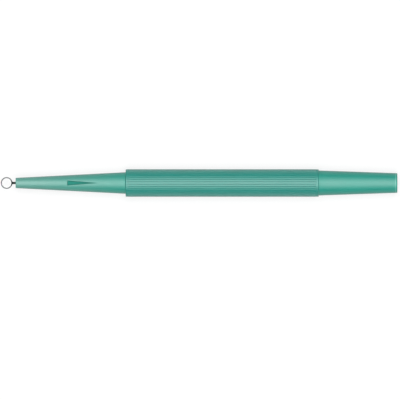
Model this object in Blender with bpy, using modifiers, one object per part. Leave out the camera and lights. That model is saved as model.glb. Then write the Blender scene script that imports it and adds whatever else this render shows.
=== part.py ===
"""Disposable dermal ring curette, lying on its side as it comes to rest.

Metres, +Z up. The tool lies along X with its ring at -X, on two neighbouring
ribs of its grip. The origin is on the surface it lies on, under the middle of
its length.

Every piece is drawn standing on the tool's own axis, ring end up, with Z = 0 at
the front face of the nose and the pointed mark facing +X. One empty then lays
the whole tool down, so that the mark and the ring's cutting edge face up.
"""
import math

import bmesh
import bpy

MM = 0.001

# Cutting ring, a short band of steel with one rim ground to an edge
RING_OUTER_DIAMETER = 4.4 * MM
RING_WALL = 0.45 * MM
RING_BAND_HEIGHT = 0.95 * MM
RING_BEVEL_HEIGHT = 0.5 * MM
RING_EDGE_LAND = 0.05 * MM
RING_BACK_ROUND = 0.1 * MM

# Stem, a steel rod that carries the ring and is held in the nose
STEM_DIAMETER = 0.86 * MM
STEM_SHOWING = 1.15 * MM
STEM_HELD = 12.0 * MM
STEM_END_CHAMFER = 0.1 * MM

# Handle, moulded in one piece: nose cone, ribbed grip and tail cone
NOSE_LENGTH = 41.1 * MM
NOSE_FRONT_DIAMETER = 3.85 * MM
NOSE_REAR_DIAMETER = 8.06 * MM
NOSE_EDGE_ROUND = 0.2 * MM
GRIP_LENGTH = 72.1 * MM
GRIP_DIAMETER = 10.3 * MM
GRIP_EDGE_CHAMFER = 0.2 * MM
RIB_COUNT = 35
RIB_CROWN = 0.06 * MM
GROOVE_WIDTH = 0.2 * MM
GROOVE_DEPTH = 0.2 * MM
TAIL_LENGTH = 29.4 * MM
TAIL_FRONT_DIAMETER = 9.37 * MM
TAIL_END_DIAMETER = 7.35 * MM
TAIL_EDGE_ROUND = 0.35 * MM

# Pointed mark sunk into the nose, square and deepest at its front end
MARK_START = 19.35 * MM
MARK_LENGTH = 11.05 * MM
MARK_WIDTH = 1.7 * MM
MARK_DEPTH = 1.1 * MM

# Clearance that touching pieces keep, and how far cutters and joined bodies run past a face
SEAT_GAP = 0.1 * MM
OVERRUN = 1.0 * MM

# Fineness of round shapes
HANDLE_STEPS = 96
RING_STEPS = 72
STEM_SIDES = 32
ROUND_POINTS = 3
CROWN_STEPS = 4
MERGE_DISTANCE = 0.001 * MM
SHARP_ANGLE = math.radians(35)

# Stations along the tool's own axis
GRIP_FRONT = -NOSE_LENGTH
GRIP_REAR = GRIP_FRONT - GRIP_LENGTH
TAIL_END = GRIP_REAR - TAIL_LENGTH
RING_RADIUS = RING_OUTER_DIAMETER / 2
RING_CENTRE = STEM_SHOWING + RING_RADIUS
RING_FRONT = RING_CENTRE + RING_RADIUS

# Radii and tapers that follow from the sizes above
STEM_RADIUS = STEM_DIAMETER / 2
SOCKET_RADIUS = STEM_RADIUS + SEAT_GAP
GRIP_RADIUS = GRIP_DIAMETER / 2
NOSE_TAPER = (NOSE_REAR_DIAMETER - NOSE_FRONT_DIAMETER) / 2 / NOSE_LENGTH
TAIL_TAPER = (TAIL_FRONT_DIAMETER - TAIL_END_DIAMETER) / 2 / TAIL_LENGTH

# A rib is straight up and a groove is straight down, so the tool stands on the two ribs beside it
AXIS_HEIGHT = GRIP_RADIUS * math.cos(math.pi / RIB_COUNT)


def clear_scene():
    """Remove every object that the file opens with."""
    for leftover in list(bpy.data.objects):
        bpy.data.objects.remove(leftover, do_unlink=True)


def new_collection(name):
    """A collection linked to the scene."""
    made = bpy.data.collections.new(name)
    bpy.context.scene.collection.children.link(made)
    return made


def linear(channel):
    """One sRGB channel, 0 to 255, as linear light."""
    value = channel / 255
    if value <= 0.04045:
        return value / 12.92
    return ((value + 0.055) / 1.055) ** 2.4


def new_material(name, srgb, roughness, metallic):
    """A Principled material from an sRGB colour."""
    made = bpy.data.materials.new(name)
    made.use_nodes = True
    shader = made.node_tree.nodes["Principled BSDF"]
    shader.inputs["Base Color"].default_value = (*[linear(channel) for channel in srgb], 1.0)
    shader.inputs["Roughness"].default_value = roughness
    shader.inputs["Metallic"].default_value = metallic
    made.diffuse_color = shader.inputs["Base Color"].default_value
    return made


def new_object(name, mesh, collection):
    """An object on the tool's axis, in the given collection."""
    made = bpy.data.objects.new(name, mesh)
    collection.objects.link(made)
    return made


def as_cutter(shape):
    """Mark a shape as a tool for a Boolean, which isn't part of the object."""
    shape.hide_render = True
    shape.display_type = "WIRE"
    return shape


def rounded_corner(radius_at_corner, z_at_corner, size, taper, facing):
    """Profile points of a rounded end edge, from the end face to the cone.

    facing is 1 where the end face looks up the axis and -1 where it looks down it.
    """
    points = []
    for step in range(ROUND_POINTS + 1):
        angle = math.pi / 2 * step / ROUND_POINTS
        depth = size * (1 - math.cos(angle))
        inset = size * (1 - math.sin(angle))
        points.append((radius_at_corner + taper * depth - inset, z_at_corner - facing * depth))
    return points


def turned(name, profile, steps, collection, closed=False):
    """A turned shape: a profile at +X swept once round Z by a Screw modifier."""
    mesh = bpy.data.meshes.new(name)
    edges = [(index, index + 1) for index in range(len(profile) - 1)]
    if closed:
        edges.append((len(profile) - 1, 0))
    mesh.from_pydata([(radius, 0, z) for radius, z in profile], edges, [])
    made = new_object(name, mesh, collection)
    screw = made.modifiers.new("turn", "SCREW")
    screw.axis = "Z"
    screw.angle = 2 * math.pi
    screw.steps = steps
    screw.render_steps = steps
    screw.use_merge_vertices = True
    screw.merge_threshold = MERGE_DISTANCE
    return made


def plate(name, outline, thickness, collection):
    """A flat outline in XY made into a solid plate, centred on Z = 0."""
    curve = bpy.data.curves.new(name, "CURVE")
    curve.dimensions = "2D"
    curve.fill_mode = "BOTH"
    curve.extrude = thickness / 2
    spline = curve.splines.new("POLY")
    spline.points.add(len(outline) - 1)
    for point, (x, y) in zip(spline.points, outline):
        point.co = (x, y, 0, 1)
    spline.use_cyclic_u = True
    drawn = new_object(name, curve, collection)
    bpy.context.view_layer.update()

    evaluated = drawn.evaluated_get(bpy.context.evaluated_depsgraph_get())
    mesh = bpy.data.meshes.new_from_object(evaluated)
    solid = bmesh.new()
    solid.from_mesh(mesh)
    bmesh.ops.remove_doubles(solid, verts=solid.verts, dist=MERGE_DISTANCE)
    solid.to_mesh(mesh)
    solid.free()
    placed = drawn.matrix_world.copy()
    bpy.data.objects.remove(drawn, do_unlink=True)
    made = new_object(name, mesh, collection)
    made.matrix_world = placed
    return made


def rod(name, radius, bottom, top, sides, collection):
    """A cylinder on the tool's axis between two stations."""
    solid = bmesh.new()
    bmesh.ops.create_cone(
        solid, cap_ends=True, segments=sides, radius1=radius, radius2=radius, depth=top - bottom
    )
    mesh = bpy.data.meshes.new(name)
    solid.to_mesh(mesh)
    solid.free()
    made = new_object(name, mesh, collection)
    made.location.z = (bottom + top) / 2
    return made


def combine(target, other, operation):
    """Add a Boolean modifier to the target."""
    boolean = target.modifiers.new(other.name, "BOOLEAN")
    boolean.operation = operation
    boolean.solver = "EXACT"
    boolean.object = other


def finish_piece(piece, material, parent):
    """Apply a piece's modifiers, give it its material and shading, and hang it on the tool."""
    bpy.context.view_layer.update()
    evaluated = piece.evaluated_get(bpy.context.evaluated_depsgraph_get())
    mesh = bpy.data.meshes.new_from_object(evaluated)
    mesh.name = piece.name
    piece.modifiers.clear()
    piece.data = mesh
    mesh.materials.clear()
    mesh.materials.append(material)
    mesh.shade_smooth()
    mesh.set_sharp_from_angle(angle=SHARP_ANGLE)
    piece.parent = parent


def handle_body(collection):
    """The nose and tail cones as one turned body, which runs on through the grip."""
    nose_inside = NOSE_REAR_DIAMETER / 2 + NOSE_TAPER * OVERRUN
    tail_inside = TAIL_FRONT_DIAMETER / 2 + TAIL_TAPER * OVERRUN
    nose_edge = rounded_corner(NOSE_FRONT_DIAMETER / 2, 0, NOSE_EDGE_ROUND, NOSE_TAPER, 1)
    tail_edge = rounded_corner(TAIL_END_DIAMETER / 2, TAIL_END, TAIL_EDGE_ROUND, TAIL_TAPER, -1)
    profile = [(0, 0)]
    profile += nose_edge
    profile.append((nose_inside, GRIP_FRONT - OVERRUN))
    profile.append((tail_inside, GRIP_REAR + OVERRUN))
    profile += reversed(tail_edge)
    profile.append((0, TAIL_END))
    return turned("handle", profile, HANDLE_STEPS, collection)


def rib_outline():
    """The grip's section: crowned ribs with a narrow groove between each two, and a rib at +X."""
    pitch = 2 * math.pi / RIB_COUNT
    half_rib = (pitch - GROOVE_WIDTH / GRIP_RADIUS) / 2
    outline = []
    for rib in range(RIB_COUNT):
        polar = []
        for step in range(CROWN_STEPS + 1):
            share = 2 * step / CROWN_STEPS - 1
            polar.append((GRIP_RADIUS - RIB_CROWN * share**2, pitch * rib + half_rib * share))
        polar.append((GRIP_RADIUS - GROOVE_DEPTH, pitch * (rib + 0.5)))
        outline += [(radius * math.cos(angle), radius * math.sin(angle)) for radius, angle in polar]
    return outline


def grip_sleeve(cutters):
    """The ribbed grip, with the ends of its ribs chamfered."""
    sleeve = as_cutter(plate("grip_sleeve", rib_outline(), GRIP_LENGTH, cutters))
    sleeve.location.z = (GRIP_FRONT + GRIP_REAR) / 2
    end_radius = GRIP_RADIUS - GRIP_EDGE_CHAMFER
    profile = [
        (0, GRIP_FRONT + OVERRUN),
        (end_radius - OVERRUN, GRIP_FRONT + OVERRUN),
        (end_radius + OVERRUN, GRIP_FRONT - OVERRUN),
        (end_radius + OVERRUN, GRIP_REAR + OVERRUN),
        (end_radius - OVERRUN, GRIP_REAR - OVERRUN),
        (0, GRIP_REAR - OVERRUN),
    ]
    envelope = as_cutter(turned("grip_ends", profile, HANDLE_STEPS, cutters))
    combine(sleeve, envelope, "INTERSECT")
    return sleeve


def mark_cutter(cutters):
    """A pointed wedge whose floor ramps from the mark's deep front end out to its point."""
    front_radius = NOSE_FRONT_DIAMETER / 2 + NOSE_TAPER * MARK_START
    point_radius = front_radius + NOSE_TAPER * MARK_LENGTH
    fall = point_radius - (front_radius - MARK_DEPTH)
    floor_length = math.hypot(fall, MARK_LENGTH)
    tilt = math.atan2(fall, MARK_LENGTH)
    height = MARK_DEPTH + OVERRUN
    outline = [(0, 0), (floor_length, MARK_WIDTH / 2), (floor_length, -MARK_WIDTH / 2)]
    wedge = as_cutter(plate("mark_wedge", outline, height, cutters))
    wedge.rotation_euler.y = -math.pi / 2 - tilt
    wedge.location.x = point_radius + math.cos(tilt) * height / 2
    wedge.location.z = -(MARK_START + MARK_LENGTH) + math.sin(tilt) * height / 2
    return wedge


def build_handle(collection, cutters, material, tool):
    """The moulded handle with its ribs, its sunk mark and the blind hole for the stem."""
    handle = handle_body(collection)
    combine(handle, grip_sleeve(cutters), "UNION")
    combine(handle, mark_cutter(cutters), "DIFFERENCE")
    socket = rod("stem_socket", SOCKET_RADIUS, -STEM_HELD - SEAT_GAP, OVERRUN, STEM_SIDES, cutters)
    combine(handle, as_cutter(socket), "DIFFERENCE")
    finish_piece(handle, material, tool)


def build_stem(collection, cutters, material, tool):
    """The rod, hollowed at its front end to seat against the ring."""
    stem = rod("stem", STEM_RADIUS, -STEM_HELD, RING_CENTRE, STEM_SIDES, collection)
    chamfer = stem.modifiers.new("end_chamfer", "BEVEL")
    chamfer.width = STEM_END_CHAMFER
    chamfer.segments = 1
    chamfer.limit_method = "ANGLE"
    chamfer.angle_limit = SHARP_ANGLE
    reach = STEM_RADIUS + OVERRUN
    seat = rod("ring_seat", RING_RADIUS + SEAT_GAP, -reach, reach, RING_STEPS, cutters)
    seat.rotation_euler.y = math.pi / 2
    seat.location.z = RING_CENTRE
    combine(stem, as_cutter(seat), "DIFFERENCE")
    finish_piece(stem, material, tool)


def build_cutting_ring(collection, material, tool):
    """The band, level with the stem, with its bevel above it and a rounded back rim."""
    inner = RING_RADIUS - RING_WALL
    band_top = RING_BAND_HEIGHT / 2
    edge = band_top + RING_BEVEL_HEIGHT
    back_rim = rounded_corner(RING_RADIUS, -band_top, RING_BACK_ROUND, 0, -1)
    profile = [(inner, edge), (inner + RING_EDGE_LAND, edge), (RING_RADIUS, band_top)]
    profile += reversed(back_rim)
    profile += [(inner + RING_RADIUS - radius, z) for radius, z in back_rim]
    ring = turned("cutting_ring", profile, RING_STEPS, collection, closed=True)
    ring.rotation_euler.y = math.pi / 2
    ring.location.z = RING_CENTRE
    finish_piece(ring, material, tool)


def build_curette():
    """Model the three pieces and lay the tool on its side."""
    clear_scene()
    collection = new_collection("ring_curette")
    cutters = new_collection("cutters")

    tool = bpy.data.objects.new("tool_axis", None)
    collection.objects.link(tool)
    tool.empty_display_size = GRIP_RADIUS
    tool.rotation_euler.y = -math.pi / 2
    tool.location = ((RING_FRONT + TAIL_END) / 2, 0, AXIS_HEIGHT)

    green_plastic = new_material("green_plastic", (34, 147, 130), 0.38, 0.0)
    dark_steel = new_material("dark_steel", (30, 36, 34), 0.35, 0.9)
    bright_steel = new_material("bright_steel", (140, 142, 143), 0.25, 1.0)

    build_handle(collection, cutters, green_plastic, tool)
    build_stem(collection, cutters, dark_steel, tool)
    build_cutting_ring(collection, bright_steel, tool)


build_curette()
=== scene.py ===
"""Looks of a disposable ring curette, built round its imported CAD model.

Metres, +Z up, in the CAD model's own frame: the tool lies along X with its ring at
-X, on two neighbouring ribs of its grip. The moulded handle, the stem and the ring
are made again here with finer shapes, in the places that the CAD model gives them.

Stations along the tool are measured from the front face of its nose towards its tail.
"""

import math

import bpy
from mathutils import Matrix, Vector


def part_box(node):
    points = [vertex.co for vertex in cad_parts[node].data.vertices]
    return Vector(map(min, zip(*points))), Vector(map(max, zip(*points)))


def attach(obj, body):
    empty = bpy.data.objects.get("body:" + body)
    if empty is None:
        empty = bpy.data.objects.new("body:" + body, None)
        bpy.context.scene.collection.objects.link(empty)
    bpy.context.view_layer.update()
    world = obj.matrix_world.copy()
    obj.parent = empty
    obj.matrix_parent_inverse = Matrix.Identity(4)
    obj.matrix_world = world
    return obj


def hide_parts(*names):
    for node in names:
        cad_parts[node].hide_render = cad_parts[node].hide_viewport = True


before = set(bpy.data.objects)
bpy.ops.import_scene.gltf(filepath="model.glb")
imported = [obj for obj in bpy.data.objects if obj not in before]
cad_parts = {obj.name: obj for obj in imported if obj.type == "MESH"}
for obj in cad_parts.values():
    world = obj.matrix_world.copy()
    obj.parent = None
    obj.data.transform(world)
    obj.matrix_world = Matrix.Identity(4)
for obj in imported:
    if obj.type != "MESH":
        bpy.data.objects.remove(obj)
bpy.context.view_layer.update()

bl_info = {
    "name": "Ring curette",
    "version": (1, 0, 0),
    "blender": (4, 5, 0),
    "location": "3D View > Sidebar > Curette",
    "description": "Moulded handle, stem, ground ring and studio stage for a ring curette",
    "category": "Add Mesh",
}

MM = 0.001
MICRON = 0.001 * MM

HANDLE_LOW, HANDLE_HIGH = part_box("handle")
STEM_LOW, STEM_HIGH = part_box("stem")
RING_LOW, RING_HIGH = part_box("cutting_ring")
NOSE_FACE_X = HANDLE_LOW.x
AXIS_HEIGHT = (STEM_LOW.z + STEM_HIGH.z) / 2
RING_CENTRE_X = (RING_LOW.x + RING_HIGH.x) / 2
RING_RADIUS = (RING_HIGH.x - RING_LOW.x) / 2

# Columns of points over half a section: shares of half a rib's top and of half a groove,
# the mark's floor and wall with the rest of the nose, and the tail
TOP_SHARES = (0.0, 0.38, 0.7, 0.9)
GROOVE_SHARES = (0.0, 0.13, 0.3, 0.6, 0.85)
FLOOR_COLUMNS = 12
WALL_COLUMNS = 14
NOSE_COLUMNS = 66
TAIL_COLUMNS = 60
STEM_COLUMNS = 64
RING_STEPS = 240

# How far before and past the mark the nose's columns draw together round it, and how many
# times the mark's edge they stay apart at its point
GATHER = 8 * MM
LEAST_GATHER = 1.4

# Points over the ring's section, as shares of the way along its outer face, its bevel,
# its cutting edge and its inner face
BAND_SHARES = (0.3, 0.65, 0.93)
BEVEL_SHARES = (0.0, 0.02, 0.1, 0.25, 0.5, 0.75, 0.9, 0.98)
LAND_SHARE = 0.8
INNER_SHARES = (0.05, 0.3, 0.6, 0.9)

# Rows of points over a rounded edge, the end of a groove, the mark's front wall and the brazed joint
ROUND_STEPS = 6
RUN_OUT_ROWS = 5
WALL_ROWS = 10
JOINT_ROWS = 14

# Rows of points over the nose before, along and past the mark, over the ribs and over the tail
NOSE_FRONT_ROWS = 11
MARK_ROWS = 48
NOSE_REAR_ROWS = 12
RIB_ROWS = 6
TAIL_ROWS = 7

# Station of the nose's first plain row, how far a row that keeps a face flat lies from the
# face's edge, and how far the brazed joint is sunk into the ring
FIRST_ROW = 2 * MM
SUPPORT = 0.04 * MM
JOINT_SUNK = 0.04 * MM

# How long the noise is drawn out: along the handle and the stem as a share of its own
# frequency, and round the ring as the radius at which the angle counts
FLOW_DRAWN = 0.06
WIRE_DRAWN = 0.04
GROUND_DRAWN = 0.12 * MM

# Shares of each noise in the mottling of a colour; stains have what is left of the steel's
CLOUD_SHARE = 0.4
FLOW_SHARE = 0.35
GRAIN_SHARE = 0.25
DRAWN_SHARE = 0.5
GROUND_SHARE = 0.6

# How much the mottling changes a colour, as a share of it, and a roughness
PLASTIC_SPREAD = 0.1
PAINTED_SHEEN_SPREAD = 0.05
RING_SPREAD = 0.16
STEM_DARKEST = 0.6
STEM_LIGHTEST = 1.5
PLASTIC_DULLING = 0.06
STEM_DULLING = 0.16
RING_DULLING = 0.12
HEAT_DULLING = 0.15

# The heat tint: how many heated lengths it reaches from the joint, and how ragged its edge is
HEAT_REACH = 1.5
HEAT_RAGGED = 0.6

# A Mix node's sockets for two colours and for their mixture
MIX_LOW = 6
MIX_HIGH = 7
MIX_RESULT = 2

WHITE = (1.0, 1.0, 1.0)
BLACK = (0.0, 0.0, 0.0)


def length(name, about, default):
    """A size in the sidebar, in metres."""
    return bpy.props.FloatProperty(
        name=name, description=about, default=default, min=0.0, unit="LENGTH", precision=5
    )


def offset(name, about, default):
    """An offset in the sidebar, in metres, which may be below 0."""
    return bpy.props.FloatProperty(
        name=name, description=about, default=default, unit="LENGTH", precision=5
    )


def colour(name, about, default):
    """A colour in the sidebar, as linear light."""
    return bpy.props.FloatVectorProperty(
        name=name, description=about, default=default, size=3, min=0.0, max=1.0, subtype="COLOR"
    )


def share(name, about, default):
    """A value from 0 to 1 in the sidebar."""
    return bpy.props.FloatProperty(
        name=name, description=about, default=default, min=0.0, max=1.0, subtype="FACTOR"
    )


def power(name, about, default):
    """The power of a light in the sidebar, in watts."""
    return bpy.props.FloatProperty(
        name=name, description=about, default=default, min=0.0, unit="POWER"
    )


class HandleSettings(bpy.types.PropertyGroup):
    """Sizes and finish of the moulded handle."""

    nose_length: length("Nose length", "From the nose's face to the grip", 41.1 * MM)
    nose_front: length("Nose front", "Diameter at the nose's face", 3.85 * MM)
    nose_rear: length("Nose rear", "Diameter where the nose meets the grip", 8.06 * MM)
    grip_length: length("Grip length", "Length of the ribbed grip", 72.1 * MM)
    grip: length("Grip", "Diameter over the ribs, just inside the CAD model's", 10.28 * MM)
    rib_count: bpy.props.IntProperty(
        name="Ribs", description="Ribs round the grip, an odd number", default=35, min=3
    )
    rib_crown: length("Rib crown", "How far a rib's sides lie below its crest", 0.02 * MM)
    groove_width: length("Groove width", "Width of the groove between two ribs", 0.2 * MM)
    groove_depth: length("Groove depth", "Depth of a groove below the crests", 0.2 * MM)
    rim_front: length("Front rim", "Smooth rim before the ribs start", 0.45 * MM)
    rim_rear: length("Rear rim", "Smooth rim after the ribs end", 0.75 * MM)
    run_out: length("Run-out", "Length over which a groove reaches its full depth", 0.35 * MM)
    rim_round: length("Rim rounding", "Rounding of the grip's end edges", 0.18 * MM)
    root_round: length("Root rounding", "Hollow rounding where a cone meets the grip", 0.2 * MM)
    tail_length: length("Tail length", "From the grip to the tail's end", 29.4 * MM)
    tail_front: length("Tail front", "Diameter where the tail meets the grip", 9.37 * MM)
    tail_end: length("Tail end", "Diameter at the tail's end", 7.35 * MM)
    nose_round: length("Nose rounding", "Rounding of the nose's front edge", 0.2 * MM)
    tail_round: length("Tail rounding", "Rounding of the tail's end edge", 0.35 * MM)
    hole: length("Stem hole", "Diameter of the hole that the stem leaves by", 0.88 * MM)
    hole_depth: length("Hole depth", "How far into the nose that hole is made", 1.0 * MM)
    hole_round: length("Hole rounding", "Rounding of that hole's rim", 0.09 * MM)
    mark_start: length("Mark start", "From the nose's face to the mark's square end", 19.35 * MM)
    mark_length: length("Mark length", "From the mark's square end to its point", 11.05 * MM)
    mark_width: length("Mark width", "Width of the mark at its square end", 1.7 * MM)
    mark_depth: length("Mark depth", "Depth of the mark at its square end", 1.1 * MM)
    mark_edge: length("Mark edge", "Half the width over which the mark's walls fall", 0.07 * MM)
    # Painted shade: the mark's floor and walls are darkened in colour where shade falls in the sunk recess,
    # more towards its narrow point
    mark_painted_shade: share("Mark shade", "How much darker the mark's rough floor is at its square end", 0.16)
    mark_point_painted_shade: share("Mark point shade", "How much darker still it is at its point", 0.24)
    # Painted highlight: the lighter ring near the tail's end, called its burnished rim in these settings,
    # stands in for light caught on its end edge
    rim_highlight_from: length("Worn rim", "From the tail's end to the middle of its burnished rim", 0.68 * MM)
    rim_highlight_width: length("Worn width", "Half the width of the burnished rim", 0.24 * MM)
    rim_highlight_colour: colour("Worn colour", "Colour of the burnished rim", (0.10, 0.40, 0.33))
    plastic: colour("Plastic", "Colour of the moulded plastic", (0.014, 0.285, 0.219))
    # Painted sheen: the nose's plastic is made paler towards its thin tip, standing in for a broad
    # highlight there
    painted_tip_sheen: colour("Pale tip", "Colour towards which the nose pales at its thin tip", (0.115, 0.335, 0.28))
    painted_sheen_length: length("Pale length", "How far from the tip the plastic is paler", 45 * MM)
    # Painted shade: the ribbed grip gets a darker copy of the plastic's colour, standing in for the darker
    # shading of the grip on its sides and among its ribs
    grip_shaded_colour: colour("Grip colour", "Deeper colour of the ribbed grip", (0.010, 0.245, 0.198))
    roughness: share("Roughness", "Roughness of the moulded skin", 0.42)
    grip_polish: share("Grip polish", "How much smoother the grip is than the rest", 0.05)
    mark_roughness: share("Mark roughness", "Roughness of the mark's floor and walls", 0.9)
    gloss: share("Gloss", "Specular level of the moulded skin", 0.66)
    cloud_size: length("Cloud size", "Size of the plastic's broad mottling", 9 * MM)
    flow_size: length("Flow size", "Width of the flow marks along the tool", 0.9 * MM)
    peel_size: length("Peel size", "Size of the skin's soft unevenness", 0.55 * MM)
    peel_height: length("Peel height", "Height of that unevenness", 1.6 * MICRON)
    grain_size: length("Grain size", "Size of the skin's fine grain", 0.09 * MM)
    grain_height: length("Grain height", "Height of the fine grain", 1.1 * MICRON)
    pit_size: length("Pit size", "Size of the pits in the mark's floor", 0.05 * MM)
    pit_height: length("Pit height", "Height of those pits", 9 * MICRON)
    seam_width: length("Seam width", "Half the width of the parting line", 0.035 * MM)
    seam_height: length("Seam height", "Height of the parting line", 6 * MICRON)


class SteelSettings(bpy.types.PropertyGroup):
    """Sizes and finish of the stem and of the ring."""

    ring_wall: length("Ring wall", "Thickness of the ring's band", 0.45 * MM)
    bevel_height: length("Bevel height", "Height of the ground bevel", 0.5 * MM)
    edge_land: length("Edge land", "Width left at the cutting edge", 0.05 * MM)
    back_round: length("Back rounding", "Rounding of the ring's back rim", 0.1 * MM)
    edge_ease: length("Edge easing", "How far the edge's inner corner is eased down", 0.01 * MM)
    hollow: length("Hollow", "How far the ground bevel is hollowed", 0.012 * MM)
    joint_length: length("Joint length", "How far the brazed joint reaches along the stem", 0.4 * MM)
    joint_width: length("Joint width", "Width of the brazed joint where it meets the ring", 1.2 * MM)
    heated: length("Heated", "How far from the joint the ring is darkened", 0.36 * MM)
    ring_colour: colour("Ring steel", "Colour of the ring's ground steel", (0.245, 0.252, 0.257))
    stem_colour: colour("Stem steel", "Colour of the darkened stem", (0.012, 0.017, 0.015))
    ring_roughness: share("Ring roughness", "Roughness of the ring's steel", 0.28)
    stem_roughness: share("Stem roughness", "Roughness of the stem's steel", 0.38)
    stem_metallic: share("Stem metallic", "How much the stem's dark skin reflects as metal does", 0.9)
    stem_round: length("Stem rounding", "Rounding of the stem's end inside the nose", 0.1 * MM)
    drawn_size: length("Drawn lines", "Width of the drawing lines along the stem", 0.03 * MM)
    drawn_height: length("Drawn height", "Height of the drawing lines", 0.8 * MICRON)
    stem_stain: length("Stem stains", "Size of the stem's stains", 0.35 * MM)
    ground_size: length("Ground lines", "Width of the grinding lines round the ring", 0.022 * MM)
    ground_height: length("Ground height", "Height of the grinding lines", 0.9 * MICRON)
    ring_stain: length("Ring stains", "Size of the ring's stains", 0.8 * MM)


class StageSettings(bpy.types.PropertyGroup):
    """The floor, the light and the view."""

    floor_reach: length("Floor reach", "How far the floor reaches to each side", 1.5)
    floor_colour: colour("Floor", "Colour of the pale floor", (0.25, 0.25, 0.25))
    floor_seen: share("Floor seen", "Light that the floor adds where it is seen or reflected", 0.73)
    dome: share("Dome", "Strength of the light from all round", 0.06)
    horizon: share("Horizon", "Share of the way up at which the horizon's white has faded", 0.2)
    light_height: length("Light height", "Height of the soft lights above the floor", 1.2)
    light_length: length("Light length", "Length of the soft lights, along the tool", 0.78)
    main_width: length("Main width", "Width of the main light, across the tool", 1.28)
    main_power: power("Main power", "Power of the main light", 17.6)
    side_width: length("Side width", "Width of each side light, across the tool", 1.08)
    side_power: power("Side power", "Power of each side light", 6.2)
    frame_width: length("Frame width", "Width of the scene that the picture shows", 149.4 * MM)
    frame_x: offset("Frame X", "Middle of the picture along the tool", 0.35 * MM)
    frame_y: offset("Frame Y", "Middle of the picture across the tool", -6.35 * MM)
    camera_height: length("Camera height", "Height of the camera above the floor", 0.4)


class Wire:
    """One socket of a shader tree, which Python expressions use like a number."""

    def __init__(self, tree, socket=None):
        self.tree = tree
        self.socket = socket

    def node(self, kind, settings, sockets, output=0):
        """Add a node: its settings first, then the values or links of its sockets."""
        made = self.tree.nodes.new(kind)
        for name, value in settings.items():
            setattr(made, name, value)
        for name, value in sockets.items():
            if isinstance(value, Wire):
                self.tree.links.new(value.socket, made.inputs[name])
            else:
                made.inputs[name].default_value = value
        return Wire(self.tree, made.outputs[output])

    def output(self, name):
        """Another output of the node that this socket is on."""
        return Wire(self.tree, self.socket.node.outputs[name])

    def math(self, operation, *values, clamp=False):
        """A Math node on numbers and sockets."""
        return self.node(
            "ShaderNodeMath", {"operation": operation, "use_clamp": clamp}, dict(enumerate(values))
        )

    def __add__(self, other):
        return self.math("ADD", self, other)

    def __radd__(self, other):
        return self.math("ADD", other, self)

    def __sub__(self, other):
        return self.math("SUBTRACT", self, other)

    def __rsub__(self, other):
        return self.math("SUBTRACT", other, self)

    def __mul__(self, other):
        return self.math("MULTIPLY", self, other)

    def __rmul__(self, other):
        return self.math("MULTIPLY", other, self)

    def __truediv__(self, other):
        return self.math("DIVIDE", self, other)

    def __abs__(self):
        return self.math("ABSOLUTE", self)

    def stretched(self, x, y, z):
        """This vector with each of its parts multiplied."""
        return self.node(
            "ShaderNodeVectorMath", {"operation": "MULTIPLY"}, {0: self, 1: (x, y, z)}
        )

    def less(self, place):
        """This vector from another place."""
        return self.node("ShaderNodeVectorMath", {"operation": "SUBTRACT"}, {0: self, 1: place})

    def length(self):
        """The length of this vector."""
        return self.node("ShaderNodeVectorMath", {"operation": "LENGTH"}, {0: self}, output="Value")

    def noise(self, size, detail):
        """Noise from about 0 to 1 at this place, with features of the given size."""
        return self.node(
            "ShaderNodeTexNoise", {"noise_dimensions": "3D"},
            {"Vector": self, "Scale": 1 / size, "Detail": detail},
        )

    def between(self, low, high):
        """A colour between two others, with this socket as the share of the second."""
        return self.node(
            "ShaderNodeMix", {"data_type": "RGBA"},
            {"Factor": self, MIX_LOW: shown(low), MIX_HIGH: shown(high)}, output=MIX_RESULT
        )

    def limited(self):
        """This value, kept from 0 to 1."""
        return self.math("ADD", self, 0.0, clamp=True)

    def part(self, name):
        """The X, Y or Z part of this vector."""
        return self.node("ShaderNodeSeparateXYZ", {}, {"Vector": self}, output=name)


def new_material(name):
    """A material with a Principled shader, and the tree to write its maths in."""
    made = bpy.data.materials.new(name)
    made.use_nodes = True
    tree = made.node_tree
    shader = tree.nodes["Principled BSDF"]
    return made, Wire(tree), shader.inputs


def feed(sockets, name, wire):
    """Link a socket of the shader."""
    wire.tree.links.new(wire.socket, sockets[name])


def shown(rgb):
    """A colour as a socket takes it, with its alpha."""
    return rgb if isinstance(rgb, Wire) else (*rgb, 1.0)


def tinted(rgb, factor):
    """A colour made lighter or darker."""
    return tuple(min(channel * factor, 1.0) for channel in rgb)


def mottled(shade, rgb, spread):
    """A colour that noise makes lighter and darker by up to a share of itself."""
    return shade.between(tinted(rgb, 1 - spread), tinted(rgb, 1 + spread))


def raised(wire, height):
    """A Bump node for heights in metres."""
    return wire.node("ShaderNodeBump", {}, {"Strength": 1.0, "Distance": 1.0, "Height": height})


def on_mark(place, settings):
    """1 on the sunk mark and else 0, and how far towards its point a place lies."""
    soft = 0.05 * MM
    rise = 1.0 * MM
    front = NOSE_FACE_X + settings.mark_start
    narrowing = settings.mark_width / 2 / settings.mark_length
    x = place.part("X")
    half_width = (front + settings.mark_length - x) * narrowing
    across = ((half_width - abs(place.part("Y"))) / soft + 1).limited()
    behind = ((x - front) / soft + 1).limited()
    above = ((place.part("Z") - AXIS_HEIGHT) / rise).limited()
    return (across * behind * above).limited(), ((x - front) / settings.mark_length).limited()


def on_grip(place, settings):
    """1 on the grip and 0 on the nose and the tail."""
    middle = NOSE_FACE_X + settings.nose_length + settings.grip_length / 2
    soft = 0.02 * MM
    inside = settings.grip_length / 2 - abs(place.part("X") - middle)
    return (inside / soft + 0.5).limited()


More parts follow.
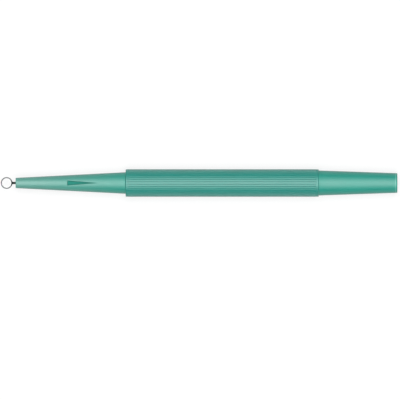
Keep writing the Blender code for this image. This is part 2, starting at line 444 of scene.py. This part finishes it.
def moulded_plastic(settings):
    """Satin green plastic with a fine grain, flow marks, a parting line and a rough-floored mark, with
    painted shade on the grip and in the mark, a painted sheen towards the nose's tip and a painted
    highlight ring near the tail's end.
    """
    material, wire, shader = new_material("moulded_plastic")
    place = wire.node("ShaderNodeTexCoord", {}, {}, output="Object")
    cloud = place.noise(settings.cloud_size, detail=3.0)
    flow = place.stretched(FLOW_DRAWN, 1.0, 1.0).noise(settings.flow_size, detail=3.0)
    peel = place.noise(settings.peel_size, detail=1.0)
    grain = place.noise(settings.grain_size, detail=2.0)
    mark, to_point = on_mark(place, settings)
    grip = on_grip(place, settings)

    shade = cloud * CLOUD_SHARE + flow * FLOW_SHARE + grain * GRAIN_SHARE
    # Painted sheen: outside the mark the nose pales towards its tip, as a broad highlight would make it
    # look
    sheen_to_tip = (1 - (place.part("X") - NOSE_FACE_X) / settings.painted_sheen_length).limited()
    tone = mottled(shade, settings.plastic, PLASTIC_SPREAD)
    tone = (sheen_to_tip * (1 - mark)).between(tone, mottled(shade, settings.painted_tip_sheen, PAINTED_SHEEN_SPREAD))
    # Painted shade: the grip takes the darker copy of the plastic's colour
    tone = grip.between(tone, mottled(shade, settings.grip_shaded_colour, PLASTIC_SPREAD))
    # Painted shade: the sunk mark is darkened in colour, more towards its point, where shade falls in the
    # recess
    sunk = mark * (settings.mark_painted_shade + to_point * settings.mark_point_painted_shade)
    tone = sunk.between(tone, BLACK)
    # Painted highlight: a lighter ring of colour near the tail's end, in place of light on its end edge
    tail_end = settings.nose_length + settings.grip_length + settings.tail_length
    rim_highlight_middle = NOSE_FACE_X + tail_end - settings.rim_highlight_from
    off_rim = abs(place.part("X") - rim_highlight_middle) / settings.rim_highlight_width
    painted_rim_highlight = (1 - off_rim * off_rim).limited()
    feed(shader, "Base Color", painted_rim_highlight.between(tone, settings.rim_highlight_colour))

    skin = settings.roughness + (cloud + grain - 1) * PLASTIC_DULLING - grip * settings.grip_polish
    feed(shader, "Roughness", skin + mark * (settings.mark_roughness - skin))
    shader["Specular IOR Level"].default_value = settings.gloss

    seam = (1 - abs(place.part("Z") - AXIS_HEIGHT) / settings.seam_width).limited()
    pits = mark * place.noise(settings.pit_size, detail=2.0)
    height = peel * settings.peel_height + grain * settings.grain_height
    height = height + seam * settings.seam_height + pits * settings.pit_height
    feed(shader, "Normal", raised(wire, height))
    return material


def darkened_steel(settings):
    """Blackened steel wire with fine drawing lines along it."""
    material, wire, shader = new_material("darkened_steel")
    place = wire.node("ShaderNodeTexCoord", {}, {}, output="Object")
    drawn = place.stretched(WIRE_DRAWN, 1.0, 1.0).noise(settings.drawn_size, detail=2.0)
    stain = place.noise(settings.stem_stain, detail=3.0)
    shade = drawn * DRAWN_SHARE + stain * (1 - DRAWN_SHARE)
    darkest = tinted(settings.stem_colour, STEM_DARKEST)
    lightest = tinted(settings.stem_colour, STEM_LIGHTEST)
    feed(shader, "Base Color", shade.between(darkest, lightest))
    feed(shader, "Roughness", settings.stem_roughness + (stain - 0.5) * STEM_DULLING)
    feed(shader, "Normal", raised(wire, drawn * settings.drawn_height))
    shader["Metallic"].default_value = settings.stem_metallic
    return material


def ground_steel(settings):
    """Ring steel: grinding lines run round it, and it is darkened where the stem is brazed on."""
    material, wire, shader = new_material("ground_steel")
    place = wire.node("ShaderNodeTexCoord", {}, {}, output="Object")
    from_centre = place.less((RING_CENTRE_X, 0.0, 0.0))
    radius = from_centre.stretched(1.0, 1.0, 0.0).length()
    around = wire.math("ARCTAN2", from_centre.part("Y"), from_centre.part("X"))
    band = wire.node(
        "ShaderNodeCombineXYZ", {}, {"X": radius, "Y": around * GROUND_DRAWN, "Z": place.part("Z")}
    )
    lines = band.noise(settings.ground_size, detail=2.0)
    stain = place.noise(settings.ring_stain, detail=3.0)
    shade = lines * GROUND_SHARE + stain * (1 - GROUND_SHARE)
    ground = mottled(shade, settings.ring_colour, RING_SPREAD)
    from_joint = place.less((RING_CENTRE_X + RING_RADIUS, 0.0, AXIS_HEIGHT)).length()
    heated = (HEAT_REACH - from_joint / settings.heated + (stain - 0.5) * HEAT_RAGGED).limited()
    feed(shader, "Base Color", heated.between(ground, settings.stem_colour))
    dulled = (lines - 0.5) * RING_DULLING + heated * HEAT_DULLING
    feed(shader, "Roughness", settings.ring_roughness + dulled)
    feed(shader, "Normal", raised(wire, lines * settings.ground_height))
    shader["Metallic"].default_value = 1.0
    return material


def smooth_step(value):
    """0 below 0, 1 above 1, and a smooth curve between them."""
    value = min(max(value, 0.0), 1.0)
    return value * value * (3 - 2 * value)


def lerp(low, high, amount):
    """The value between two others."""
    return low + (high - low) * amount


def even(low, high, count):
    """Values evenly spaced between two others, both of them left out."""
    return [lerp(low, high, step / (count + 1)) for step in range(1, count + 1)]


class HandleShape:
    """Half-sections of the handle, from its top round one side to its underside."""

    def __init__(self, settings):
        self.sizes = settings
        self.pitch = 2 * math.pi / settings.rib_count
        self.grip_radius = settings.grip / 2
        self.rim_radius = self.grip_radius * math.cos(self.pitch / 2)
        self.half_rib = 0.5 - settings.groove_width / 2 / self.grip_radius / self.pitch
        self.grip_front = settings.nose_length
        self.grip_rear = self.grip_front + settings.grip_length
        self.tail_end = self.grip_rear + settings.tail_length
        self.nose_taper = (settings.nose_rear - settings.nose_front) / 2 / settings.nose_length
        self.tail_taper = (settings.tail_front - settings.tail_end) / 2 / settings.tail_length
        self.mark_end = settings.mark_start + settings.mark_length
        self.even_nose = [math.pi * column / NOSE_COLUMNS for column in range(NOSE_COLUMNS + 1)]
        self.even_tail = [math.pi * column / TAIL_COLUMNS for column in range(TAIL_COLUMNS + 1)]
        self.rib_angles = self.make_rib_angles()

    def make_rib_angles(self):
        """Angles of the columns over half the grip, from the crest on top to the groove below."""
        crest_down = [self.half_rib * value for value in TOP_SHARES]
        crest_down += [lerp(self.half_rib, 0.5, value) for value in GROOVE_SHARES]
        groove_up = [0.5 - value for value in reversed(crest_down[1:])]
        angles = []
        for half in range(self.sizes.rib_count):
            shares = [0.0] + groove_up if half % 2 else crest_down
            angles += [(half / 2 + value) * self.pitch for value in shares]
        return angles + [math.pi]

    def nose_radius(self, station):
        """The nose cone's radius at a station."""
        return self.sizes.nose_front / 2 + self.nose_taper * station

    def tail_radius(self, station):
        """The tail cone's radius at a station."""
        return self.sizes.tail_front / 2 - self.tail_taper * (station - self.grip_rear)

    def rib_radius(self, angle):
        """The ribbed section's radius: a crowned rib, then half of a groove with straight sides."""
        off_crest = abs((angle / self.pitch + 0.5) % 1.0 - 0.5)
        crown = self.sizes.rib_crown * (min(off_crest, self.half_rib) / self.half_rib) ** 2
        into_groove = max(off_crest - self.half_rib, 0.0) / (0.5 - self.half_rib)
        below_crown = self.sizes.groove_depth - self.sizes.rib_crown
        return self.grip_radius - crown - below_crown * groove_fall(into_groove)

    def mark_half_width(self, station):
        """Half the mark's width at a station, before and past it too."""
        left = (self.mark_end - station) / self.sizes.mark_length
        return self.sizes.mark_width / 2 * min(max(left, 0.0), 1.0)

    def mark_angles(self, station):
        """Angles of the columns over half the nose, gathered at the mark's walls."""
        radius = self.nose_radius(max(station, self.sizes.mark_start))
        edge = self.sizes.mark_edge
        half_width = max(self.mark_half_width(station), LEAST_GATHER * edge)
        across = [(half_width - edge) * column / FLOOR_COLUMNS for column in range(FLOOR_COLUMNS)]
        across += [half_width + edge * (2 * column / WALL_COLUMNS - 1) for column in range(WALL_COLUMNS)]
        angles = [math.asin(value / radius) for value in across]
        first = math.asin((half_width + edge) / radius)
        rest = NOSE_COLUMNS - len(angles)
        angles += [lerp(first, math.pi, column / rest) for column in range(rest + 1)]
        return angles

    def nose_angles(self, station):
        """The nose's columns: even at both its ends, and gathered round the mark between them."""
        before = (self.sizes.mark_start - station) / GATHER
        behind = (station - self.mark_end) / GATHER
        spread = smooth_step(max(before, behind))
        pairs = zip(self.mark_angles(station), self.even_nose)
        return [lerp(gathered, plain, spread) for gathered, plain in pairs]

    def round_row(self, station, radius, angles):
        """One round half-section."""
        return station, [(radius * math.sin(angle), radius * math.cos(angle)) for angle in angles]

    def nose_row(self, station):
        """A half-section of the plain nose cone."""
        return self.round_row(station, self.nose_radius(station), self.nose_angles(station))

    def mark_floor(self, station):
        """Height of the mark's floor above the tool's axis."""
        front = self.nose_radius(self.sizes.mark_start) - self.sizes.mark_depth
        point = self.nose_radius(self.mark_end)
        return lerp(front, point, (station - self.sizes.mark_start) / self.sizes.mark_length)

    def marked_row(self, station):
        """A half-section of the nose with the sunk mark in it."""
        edge = self.sizes.mark_edge
        half_width = self.mark_half_width(station)
        behind_front = smooth_step((station - self.sizes.mark_start + edge) / (2 * edge))
        points = []
        for side, top in self.nose_row(station)[1]:
            inside = smooth_step((half_width + edge - side) / (2 * edge)) * behind_front
            if side < half_width + edge and top > 0:
                top = lerp(top, min(self.mark_floor(station), top), inside)
            points.append((side, top))
        return station, points

    def ribbed_row(self, station, ribbed):
        """A half-section of the grip, from a smooth rim at 0 to full ribs at 1."""
        points = []
        for angle in self.rib_angles:
            radius = lerp(self.rim_radius, self.rib_radius(angle), ribbed)
            points.append((radius * math.sin(angle), radius * math.cos(angle)))
        return station, points

    def nose_rows(self):
        """From inside the stem's hole over the nose's face and cone to the grip's front face."""
        sizes = self.sizes
        hole = sizes.hole / 2
        rows = [self.round_row(sizes.hole_depth, hole, self.even_nose)]
        for along, inward in quarter(sizes.hole_round):
            radius = hole + sizes.hole_round - inward
            rows.append(self.round_row(sizes.hole_round - along, radius, self.even_nose))
        rows.append(self.round_row(0.0, hole + sizes.hole_round + SUPPORT, self.even_nose))
        rows.append(self.round_row(0.0, sizes.nose_front / 2 - sizes.nose_round - SUPPORT, self.even_nose))
        for along, inward in quarter(sizes.nose_round):
            station = sizes.nose_round - inward
            radius = self.nose_radius(station) - sizes.nose_round + along
            rows.append(self.round_row(station, radius, self.even_nose))
        rows += [self.nose_row(sizes.nose_round + SUPPORT), self.nose_row(FIRST_ROW)]
        rows += [self.nose_row(station) for station in even(FIRST_ROW, sizes.mark_start, NOSE_FRONT_ROWS)]
        edge = sizes.mark_edge
        rows.append(self.nose_row(sizes.mark_start - edge - SUPPORT))
        stations = [sizes.mark_start + edge * (2 * row / WALL_ROWS - 1) for row in range(WALL_ROWS + 1)]
        stations += even(sizes.mark_start + edge, self.mark_end, MARK_ROWS) + [self.mark_end]
        rows += [self.marked_row(station) for station in stations]
        root = self.grip_front - sizes.root_round
        rows += [self.nose_row(station) for station in even(self.mark_end, root, NOSE_REAR_ROWS)]
        rows.append(self.nose_row(root - SUPPORT))
        for along, inward in quarter(sizes.root_round):
            radius = self.nose_radius(root) + sizes.root_round - inward
            rows.append(self.round_row(root + along, radius, self.even_nose))
        face = self.nose_radius(root) + sizes.root_round + SUPPORT
        rows.append(self.round_row(self.grip_front, face, self.even_nose))
        return rows

    def grip_rows(self):
        """From the edge of the grip's front face, over its rims and ribs, to that of its rear face."""
        sizes = self.sizes
        inner = self.rim_radius - sizes.rim_round
        rim = [(0.0, inner - SUPPORT)]
        rim += [(sizes.rim_round - inward, inner + along) for along, inward in quarter(sizes.rim_round)]
        rim.append((sizes.rim_round + SUPPORT, self.rim_radius))
        rows = [self.round_row(self.grip_front + along, radius, self.rib_angles) for along, radius in rim]
        ribs_start = self.grip_front + sizes.rim_front
        ribs_end = self.grip_rear - sizes.rim_rear
        steps = [step / RUN_OUT_ROWS for step in range(RUN_OUT_ROWS + 1)]
        rows += [self.ribbed_row(ribs_start + sizes.run_out * step, smooth_step(step)) for step in steps]
        between = even(ribs_start + sizes.run_out, ribs_end - sizes.run_out, RIB_ROWS)
        rows += [self.ribbed_row(station, 1.0) for station in between]
        steps.reverse()
        rows += [self.ribbed_row(ribs_end - sizes.run_out * step, smooth_step(step)) for step in steps]
        rim.reverse()
        rows += [self.round_row(self.grip_rear - along, radius, self.rib_angles) for along, radius in rim]
        return rows

    def tail_rows(self):
        """From the root of the tail over its cone to its flat end."""
        sizes = self.sizes
        columns = self.even_tail
        root = sizes.root_round / 2
        rows = [self.round_row(self.grip_rear, sizes.tail_front / 2 + root + SUPPORT, columns)]
        for along, inward in quarter(root):
            radius = self.tail_radius(self.grip_rear) + root - along
            rows.append(self.round_row(self.grip_rear + root - inward, radius, columns))
        start = self.grip_rear + root
        edge = self.tail_end - sizes.tail_round
        cone = [start + SUPPORT] + even(start, edge, TAIL_ROWS) + [edge - SUPPORT]
        rows += [self.round_row(station, self.tail_radius(station), columns) for station in cone]
        for along, inward in quarter(sizes.tail_round):
            station = edge + along
            radius = self.tail_radius(station) - sizes.tail_round + inward
            rows.append(self.round_row(station, radius, columns))
        flat = sizes.tail_end / 2 - sizes.tail_round
        for radius in (flat - SUPPORT, flat / 2, flat / 8):
            rows.append(self.round_row(self.tail_end, radius, columns))
        return rows


def quarter(size):
    """A quarter circle as pairs that run from (0, size) to (size, 0)."""
    angles = [math.pi / 2 * step / ROUND_STEPS for step in range(ROUND_STEPS + 1)]
    return [(size * math.sin(angle), size * math.cos(angle)) for angle in angles]


def groove_fall(inward):
    """How deep a groove is, from 0 at its edge to 1 at its middle: round, straight and round again."""
    edge = 0.15
    bottom = 0.8
    whole = edge / 2 + (bottom - edge) + (1 - bottom) / 2
    if inward < edge:
        return inward * inward / (2 * edge) / whole
    if inward < bottom:
        return (inward - edge / 2) / whole
    left = 1 - inward
    return 1 - left * left / (2 * (1 - bottom)) / whole


def loft(name, rows, ring=False):
    """A mesh skinned over closed rows of points, which goes round to its first row or has closed ends."""
    vertices = []
    spans = []
    for row in rows:
        spans.append(range(len(vertices), len(vertices) + len(row)))
        vertices += row
    faces = []
    pairs = list(zip(spans, spans[1:]))
    if ring:
        pairs.append((spans[-1], spans[0]))
    for span, above in pairs:
        if len(span) == len(above):
            count = len(span)
            for column in range(count):
                after = (column + 1) % count
                faces.append((span[after], span[column], above[column], above[after]))
        else:
            faces += zipped(vertices, span, above)
    if not ring:
        faces += [tuple(spans[0]), tuple(reversed(spans[-1]))]
    mesh = bpy.data.meshes.new(name)
    mesh.from_pydata(vertices, [], faces)
    mesh.shade_smooth()
    made = bpy.data.objects.new(name, mesh)
    bpy.context.scene.collection.objects.link(made)
    return made


def zipped(vertices, span, above):
    """Triangles between two rows of one flat face that have different numbers of points."""
    full = 2 * math.pi
    turns = [turn(vertices[point]) for point in span] + [full]
    turns_above = [turn(vertices[point]) for point in above] + [full]
    faces = []
    column = 0
    column_above = 0
    while column < len(span) or column_above < len(above):
        here = span[column % len(span)]
        here_above = above[column_above % len(above)]
        done_above = column_above == len(above)
        if done_above or (column < len(span) and turns[column + 1] <= turns_above[column_above + 1]):
            column += 1
            faces.append((span[column % len(span)], here, here_above))
        else:
            column_above += 1
            faces.append((above[column_above % len(above)], here, here_above))
    return faces


def turn(point):
    """How far round the tool's axis a point lies, from its top towards +Y."""
    return math.atan2(point[1], point[2] - AXIS_HEIGHT) % (2 * math.pi)


def whole_row(station, half):
    """A closed row in the tool's own place from a half-section and its mirror image."""
    x = NOSE_FACE_X + station
    row = [(x, side, AXIS_HEIGHT + top) for side, top in half]
    row += [(x, -side, AXIS_HEIGHT + top) for side, top in reversed(half[1:-1])]
    return row


def dress(piece, material, node):
    """Give a piece its material, and let it stand for its CAD node."""
    piece.data.materials.append(material)
    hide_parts(node)
    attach(piece, "root")


class CURETTE_OT_handle(bpy.types.Operator):
    """Make the moulded handle with its ribs, rims, mark and stem hole"""

    bl_idname = "curette.handle"
    bl_label = "Moulded handle"

    def execute(self, context):
        settings = context.scene.curette_handle
        shape = HandleShape(settings)
        sections = shape.nose_rows() + shape.grip_rows() + shape.tail_rows()
        handle = loft("moulded_handle", [whole_row(station, half) for station, half in sections])
        dress(handle, moulded_plastic(settings), "handle")
        return {"FINISHED"}


class CURETTE_OT_ring(bpy.types.Operator):
    """Make the ground cutting ring"""

    bl_idname = "curette.ring"
    bl_label = "Cutting ring"

    def execute(self, context):
        settings = context.scene.curette_steel
        profile = ring_profile(settings)
        rows = []
        for step in range(RING_STEPS):
            angle = 2 * math.pi * step / RING_STEPS
            across, up = math.cos(angle), math.sin(angle)
            rows.append([(RING_CENTRE_X + radius * across, radius * up, z) for radius, z in profile])
        ring = loft("ground_ring", rows, ring=True)
        dress(ring, ground_steel(settings), "cutting_ring")
        return {"FINISHED"}


def ring_profile(settings):
    """The band's section as (radius, height): back rim, outer face, hollow bevel, edge and inner face."""
    inner = RING_RADIUS - settings.ring_wall
    bottom = RING_LOW.z
    edge = RING_HIGH.z
    shoulder = edge - settings.bevel_height
    size = settings.back_round
    points = []
    for along, inward in quarter(size):
        points.append((RING_RADIUS - size + along, bottom + size - inward))
    points += [(RING_RADIUS, lerp(bottom + size, shoulder, part)) for part in BAND_SHARES]
    land = inner + settings.edge_land
    for part in BEVEL_SHARES:
        hollow = settings.hollow * 4 * part * (1 - part)
        points.append((lerp(RING_RADIUS, land, part) - hollow, lerp(shoulder, edge, part) - hollow))
    points += [(land, edge), (lerp(land, inner, LAND_SHARE), edge), (inner, edge - settings.edge_ease)]
    points += [(inner, lerp(edge, bottom + size, part)) for part in INNER_SHARES]
    for along, inward in quarter(size):
        points.append((inner + size - inward, bottom + size - along))
    return points


class CURETTE_OT_stem(bpy.types.Operator):
    """Make the darkened stem and its brazed joint with the ring"""

    bl_idname = "curette.stem"
    bl_label = "Stem"

    def execute(self, context):
        settings = context.scene.curette_steel
        radius = (STEM_HIGH.y - STEM_LOW.y) / 2
        band_half = AXIS_HEIGHT - RING_LOW.z
        joint_end = RING_CENTRE_X + RING_RADIUS + settings.joint_length
        rows = []
        for step in range(JOINT_ROWS + 1):
            away = step / JOINT_ROWS
            flare = 1 - math.sqrt(1 - (1 - away) ** 2)
            half_width = lerp(radius, settings.joint_width / 2, flare)
            half_height = lerp(radius, band_half, flare)
            rows.append(joint_row(half_width, half_height, joint_end, away))
        back = STEM_HIGH.x
        end_round = settings.stem_round
        inside = NOSE_FACE_X + context.scene.curette_handle.hole_depth
        for x in (joint_end + SUPPORT, NOSE_FACE_X, inside, back - end_round - SUPPORT):
            rows.append(stem_row(x, radius))
        for along, inward in quarter(end_round):
            rows.append(stem_row(back - end_round + along, radius - end_round + inward))
        stem = loft("darkened_stem", rows)
        dress(stem, darkened_steel(settings), "stem")
        return {"FINISHED"}


def stem_row(x, radius):
    """A round section of the stem."""
    angles = [2 * math.pi * step / STEM_COLUMNS for step in range(STEM_COLUMNS)]
    return [(x, radius * math.sin(angle), AXIS_HEIGHT + radius * math.cos(angle)) for angle in angles]


def joint_row(half_width, half_height, joint_end, away):
    """An oval section of the brazed joint, from the ring's curved outside at 0 to the round stem at 1."""
    row = []
    for step in range(STEM_COLUMNS):
        angle = 2 * math.pi * step / STEM_COLUMNS
        side = half_width * math.sin(angle)
        seat = RING_CENTRE_X + math.sqrt((RING_RADIUS - JOINT_SUNK) ** 2 - side * side)
        row.append((lerp(seat, joint_end, away), side, AXIS_HEIGHT + half_height * math.cos(angle)))
    return row


def seen_directly(wire):
    """1 for rays that show a surface in the picture, in a reflection or through glass, and else 0."""
    path = wire.node("ShaderNodeLightPath", {}, {}, output="Is Camera Ray")
    return (path + path.output("Is Glossy Ray") + path.output("Is Transmission Ray")).limited()


class CURETTE_OT_stage(bpy.types.Operator):
    """Make the pale floor, the soft light and the camera that looks down on the tool"""

    bl_idname = "curette.stage"
    bl_label = "Stage"

    def execute(self, context):
        settings = context.scene.curette_stage
        scene = context.scene
        self.make_floor(scene, settings)
        self.make_world(scene, settings)
        self.make_light(scene, settings, "main_light", 0.0, settings.main_width, settings.main_power)
        beside = (settings.main_width + settings.side_width) / 2
        for y in (beside, -beside):
            self.make_light(scene, settings, "side_light", y, settings.side_width, settings.side_power)
        self.make_camera(scene, settings)
        scene.view_settings.view_transform = "Standard"
        return {"FINISHED"}

    def make_floor(self, scene, settings):
        """A wide pale floor, which the camera sees as white and which keeps the tool's shadow."""
        far = settings.floor_reach
        corners = [(-far, -far, 0), (far, -far, 0), (far, far, 0), (-far, far, 0)]
        mesh = bpy.data.meshes.new("floor")
        mesh.from_pydata(corners, [], [(0, 1, 2, 3)])
        floor = bpy.data.objects.new("floor", mesh)
        scene.collection.objects.link(floor)
        material = bpy.data.materials.new("pale_floor")
        material.use_nodes = True
        tree = material.node_tree
        tree.nodes.remove(tree.nodes["Principled BSDF"])
        wire = Wire(tree)
        plain = wire.node("ShaderNodeBsdfDiffuse", {}, {"Color": shown(settings.floor_colour)})
        glow = wire.node("ShaderNodeEmission", {}, {"Color": shown(WHITE), "Strength": settings.floor_seen})
        both = wire.node("ShaderNodeAddShader", {}, {0: plain, 1: glow})
        mixed = wire.node("ShaderNodeMixShader", {}, {0: seen_directly(wire), 1: plain, 2: both})
        tree.links.new(mixed.socket, tree.nodes["Material Output"].inputs["Surface"])
        mesh.materials.append(material)

    def make_world(self, scene, settings):
        """A dim dome for light, which is white up to the horizon where it is seen or reflected."""
        world = bpy.data.worlds.new("dome")
        scene.world = world
        world.use_nodes = True
        tree = world.node_tree
        tree.nodes.clear()
        wire = Wire(tree)
        dim = wire.node("ShaderNodeBackground", {}, {"Color": shown(WHITE), "Strength": settings.dome})
        bright = wire.node("ShaderNodeBackground", {}, {"Color": shown(WHITE), "Strength": 1.0})
        rise = wire.node("ShaderNodeTexCoord", {}, {}, output="Generated").part("Z")
        low = (1 - rise / settings.horizon).limited()
        mixed = wire.node("ShaderNodeMixShader", {}, {0: seen_directly(wire) * low, 1: dim, 2: bright})
        result = tree.nodes.new("ShaderNodeOutputWorld")
        tree.links.new(mixed.socket, result.inputs["Surface"])

    def make_light(self, scene, settings, name, y, width, energy):
        """One of the soft lights that lie side by side above the tool."""
        lamp = bpy.data.lights.new(name, "AREA")
        lamp.shape = "RECTANGLE"
        lamp.size = settings.light_length
        lamp.size_y = width
        lamp.energy = energy
        light = bpy.data.objects.new(name, lamp)
        light.location = (0.0, y, settings.light_height)
        light.visible_camera = False
        scene.collection.objects.link(light)

    def make_camera(self, scene, settings):
        """A camera straight above the tool, without perspective, as in a catalogue drawing."""
        lens = bpy.data.cameras.new("camera")
        lens.type = "ORTHO"
        lens.ortho_scale = settings.frame_width
        lens.clip_start = MM
        camera = bpy.data.objects.new("camera", lens)
        camera.location = (settings.frame_x, settings.frame_y, settings.camera_height)
        scene.collection.objects.link(camera)
        scene.camera = camera


class CURETTE_PT_panel(bpy.types.Panel):
    """The curette's pieces and stage"""

    bl_label = "Ring curette"
    bl_idname = "CURETTE_PT_panel"
    bl_space_type = "VIEW_3D"
    bl_region_type = "UI"
    bl_category = "Curette"

    def draw(self, context):
        layout = self.layout
        for operator in OPERATORS:
            layout.operator(operator.bl_idname)
        for name in GROUPS:
            group = getattr(context.scene, name)
            box = layout.box()
            for setting in group.__annotations__:
                box.prop(group, setting)


OPERATORS = (CURETTE_OT_handle, CURETTE_OT_ring, CURETTE_OT_stem, CURETTE_OT_stage)
GROUPS = {
    "curette_handle": HandleSettings,
    "curette_steel": SteelSettings,
    "curette_stage": StageSettings,
}


def register():
    """Register the settings, the operators and the panel."""
    for name, group in GROUPS.items():
        bpy.utils.register_class(group)
        setattr(bpy.types.Scene, name, bpy.props.PointerProperty(type=group))
    for made in (*OPERATORS, CURETTE_PT_panel):
        bpy.utils.register_class(made)


def unregister():
    """Take the panel, the operators and the settings away again."""
    for made in (CURETTE_PT_panel, *reversed(OPERATORS)):
        bpy.utils.unregister_class(made)
    for name, group in GROUPS.items():
        delattr(bpy.types.Scene, name)
        bpy.utils.unregister_class(group)


def main():
    register()
    bpy.ops.curette.handle()
    bpy.ops.curette.ring()
    bpy.ops.curette.stem()
    bpy.ops.curette.stage()


if __name__ == "__main__":
    main()
